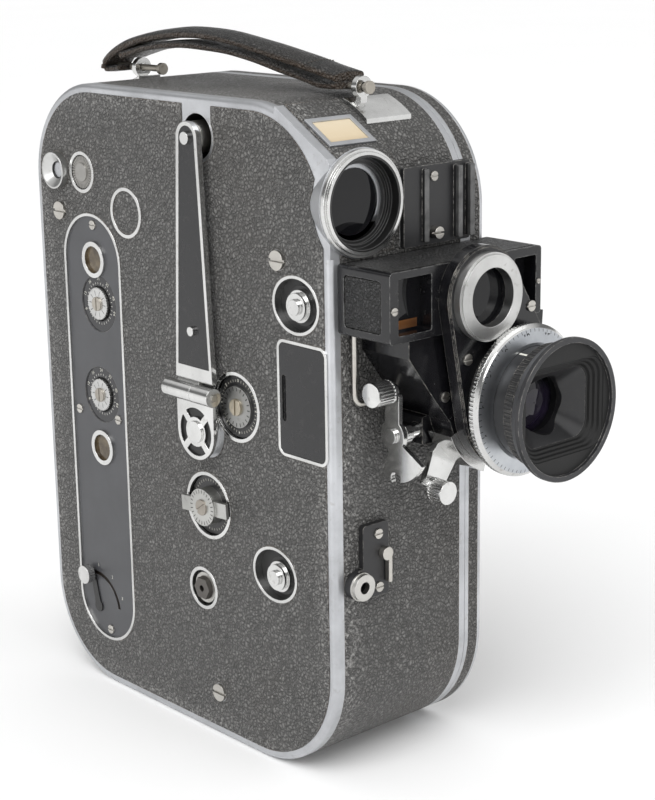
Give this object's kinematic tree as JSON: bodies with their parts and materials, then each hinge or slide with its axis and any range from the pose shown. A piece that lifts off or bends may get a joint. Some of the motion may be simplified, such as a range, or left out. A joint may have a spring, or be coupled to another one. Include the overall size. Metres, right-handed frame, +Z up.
{
  "type": "movie camera",
  "caption": "Spring-driven 16 mm movie camera with folding winding crank, leather-covered case, rangefinder housing, hooded lens and strap handle.",
  "frame": {"origin": "mouth of the tripod socket in the underside, in the middle of the case", "axes": "+Z up, -Y towards what is filmed, -X towards the winding side, +X towards the film door"},
  "size_m": [0.0824, 0.2031, 0.2292],
  "materials": {
    "black_leather": "worn pebble grain",
    "strap_leather": "smooth worn",
    "satin_aluminium": "satin, aged",
    "black_enamel": "satin black, worn",
    "slate_enamel": "satin slate",
    "bright_chrome": "polished",
    "nickel": "satin",
    "old_brass": "aged",
    "dark_glass": "coated",
    "frosted": "frosted"
  },
  "bodies": {
    "case": {"body_leather": "black_leather", "body_shell": "satin_aluminium", "crank_hub": "bright_chrome", "film_gate": "black_enamel", "finder_eyepiece": "black_enamel", "finder_lens": "dark_glass", "finder_ring": "bright_chrome", "front_glasses": "dark_glass", "frosted_window": "frosted", "handle_eyes": "bright_chrome", "hinge_pin": "nickel", "lens_barrel": "black_enamel", "lens_hood": "black_enamel", "mount_base": "black_enamel", "mount_plate": "black_enamel", "panel_plate": "slate_enamel", "panel_windows": "bright_chrome", "partition_plate": "satin_aluminium", "pressure_plate": "nickel", "rail_plate": "black_enamel", "rangefinder_housing": "black_enamel", "rangefinder_leather": "black_leather", "release_plate": "black_enamel", "screws": "nickel", "side_bezels": "bright_chrome", "side_eyecup": "satin_aluminium", "spool_spindles": "nickel", "taking_lens": "dark_glass", "tele_ring": "bright_chrome", "window_frame": "satin_aluminium", "wire_link": "nickel"},
    "door": {"door_shell": "satin_aluminium", "door_leather": "black_leather"},
    "door_lock": {"door_lock": "nickel"},
    "crank": {"crank_arm": "bright_chrome", "arm_inlay": "slate_enamel"},
    "grip": {"crank_grip": "nickel"},
    "counter": {"counter_dial": "black_enamel"},
    "speed": {"speed_knob": "nickel"},
    "motor_train": {"motor_shaft": "black_enamel", "train_gear": "old_brass"},
    "button_upper": {"upper_button": "bright_chrome"},
    "button_lower": {"lower_button": "bright_chrome"},
    "cover": {"cover_plate": "black_enamel"},
    "lever_panel": {"panel_lever": "black_enamel"},
    "dial_upper": {"upper_dial": "nickel"},
    "dial_lower": {"lower_dial": "nickel"},
    "disc_focus": {"focus_disc": "nickel"},
    "lens_focus": {"focus_ring": "bright_chrome"},
    "lens_aperture": {"aperture_ring": "black_enamel"},
    "lever_focus": {"focus_lever": "bright_chrome"},
    "lever_index": {"index_lever": "bright_chrome"},
    "lever_release": {"release_lever": "bright_chrome"},
    "strap": {"strap_handle": "strap_leather", "handle_loops": "nickel"},
    "barrel": {"spring_barrel": "satin_aluminium"},
    "sprocket_drum": {"sprocket": "nickel"},
    "shutter_disc": {"shutter": "black_enamel"},
    "spool_feed": {"feed_spool": "black_enamel"},
    "spool_takeup": {"takeup_spool": "black_enamel"}
  },
  "joints": [
    {"name": "door_lift_off", "type": "slide", "parent": "case", "child": "door", "axis": [1, 0, 0], "range_m": [0, 0.045]},
    {"name": "door_lock_turn", "type": "hinge", "parent": "door", "child": "door_lock", "pos_m": [0.03, 0, 0.106], "axis": [1, 0, 0], "range_deg": [-90, 90]},
    {"name": "crank_fold", "type": "hinge", "parent": "case", "child": "crank", "pos_m": [-0.038, -0.0149, 0.1189], "axis": [0, -1, 0], "range_deg": [0, 180]},
    {"name": "grip_spin", "type": "hinge", "parent": "crank", "child": "grip", "pos_m": [-0.026, -0.0149, 0.1993], "axis": [1, 0, 0], "continuous": true},
    {"name": "counter_turn", "type": "hinge", "parent": "case", "child": "counter", "pos_m": [-0.031, -0.0309, 0.1159], "axis": [1, 0, 0], "continuous": true},
    {"name": "speed_turn", "type": "hinge", "parent": "case", "child": "speed", "pos_m": [-0.031, -0.0152, 0.0799], "axis": [1, 0, 0], "range_deg": [-150, 150]},
    {"name": "motor_spin", "type": "hinge", "parent": "case", "child": "motor_train", "pos_m": [-0.031, -0.0112, 0.0504], "axis": [1, 0, 0], "continuous": true},
    {"name": "upper_button_slide", "type": "slide", "parent": "case", "child": "button_upper", "axis": [0, 1, 0], "range_m": [-0.0016, 0.0048]},
    {"name": "lower_button_slide", "type": "slide", "parent": "case", "child": "button_lower", "axis": [0, 1, 0], "range_m": [-0.001, 0.0054]},
    {"name": "cover_swing", "type": "hinge", "parent": "case", "child": "cover", "pos_m": [-0.03255, -0.07255, 0.1233], "axis": [0, 0, 1], "range_deg": [0, 95]},
    {"name": "panel_lever_turn", "type": "hinge", "parent": "case", "child": "lever_panel", "pos_m": [-0.032, 0.0505, 0.027], "axis": [1, 0, 0], "range_deg": [0, 90]},
    {"name": "upper_dial_turn", "type": "hinge", "parent": "case", "child": "dial_upper", "pos_m": [-0.032, 0.0423, 0.1382], "axis": [1, 0, 0], "range_deg": [-150, 150]},
    {"name": "lower_dial_turn", "type": "hinge", "parent": "case", "child": "dial_lower", "pos_m": [-0.032, 0.043, 0.1062], "axis": [1, 0, 0], "range_deg": [-150, 150]},
    {"name": "focus_disc_turn", "type": "hinge", "parent": "case", "child": "disc_focus", "pos_m": [-0.032, 0.048, 0.1824], "axis": [1, 0, 0], "range_deg": [-150, 150]},
    {"name": "focus_lever_turn", "type": "hinge", "parent": "case", "child": "lever_focus", "pos_m": [0.018, -0.096, 0.123], "axis": [0, -1, 0], "range_deg": [0, 60]},
    {"name": "focus_ring_turn", "type": "hinge", "parent": "case", "child": "lens_focus", "pos_m": [0.018, -0.106, 0.123], "axis": [0, -1, 0], "range_deg": [0, 60]},
    {"name": "aperture_turn", "type": "hinge", "parent": "case", "child": "lens_aperture", "pos_m": [0.018, -0.116, 0.123], "axis": [0, -1, 0], "range_deg": [-60, 60]},
    {"name": "index_lever_turn", "type": "hinge", "parent": "case", "child": "lever_index", "pos_m": [-0.012, -0.084, 0.114], "axis": [1, 0, 0], "range_deg": [-6, 8]},
    {"name": "release_slide", "type": "slide", "parent": "case", "child": "lever_release", "axis": [0, 0, 1], "range_m": [-0.003, 0.003]},
    {"name": "strap_swing", "type": "hinge", "parent": "case", "child": "strap", "pos_m": [0, 0, 0.2146], "axis": [0, 1, 0], "range_deg": [-10, 10]},
    {"name": "barrel_spin", "type": "hinge", "parent": "case", "child": "barrel", "pos_m": [-0.014, -0.0149, 0.1055], "axis": [1, 0, 0], "continuous": true},
    {"name": "sprocket_spin", "type": "hinge", "parent": "case", "child": "sprocket_drum", "pos_m": [0.015, -0.03, 0.1225], "axis": [1, 0, 0], "continuous": true},
    {"name": "shutter_spin", "type": "hinge", "parent": "case", "child": "shutter_disc", "pos_m": [-0.004, -0.07, 0.1225], "axis": [0, 1, 0], "continuous": true},
    {"name": "feed_spin", "type": "hinge", "parent": "case", "child": "spool_feed", "pos_m": [0.018, 0.022, 0.155], "axis": [1, 0, 0], "continuous": true},
    {"name": "takeup_spin", "type": "hinge", "parent": "case", "child": "spool_takeup", "pos_m": [0.018, 0.022, 0.057], "axis": [1, 0, 0], "continuous": true}
  ],
  "couplings": [
    {"joint": "focus_ring_turn", "follows": "focus_lever_turn", "ratio": 1},
    {"joint": "barrel_spin", "follows": "motor_spin", "ratio": -0.48649},
    {"joint": "sprocket_spin", "follows": "motor_spin", "ratio": -1.1765},
    {"joint": "shutter_spin", "follows": "motor_spin", "ratio": 4},
    {"joint": "feed_spin", "follows": "motor_spin", "ratio": 0.5},
    {"joint": "takeup_spin", "follows": "motor_spin", "ratio": 0.5}
  ]
}
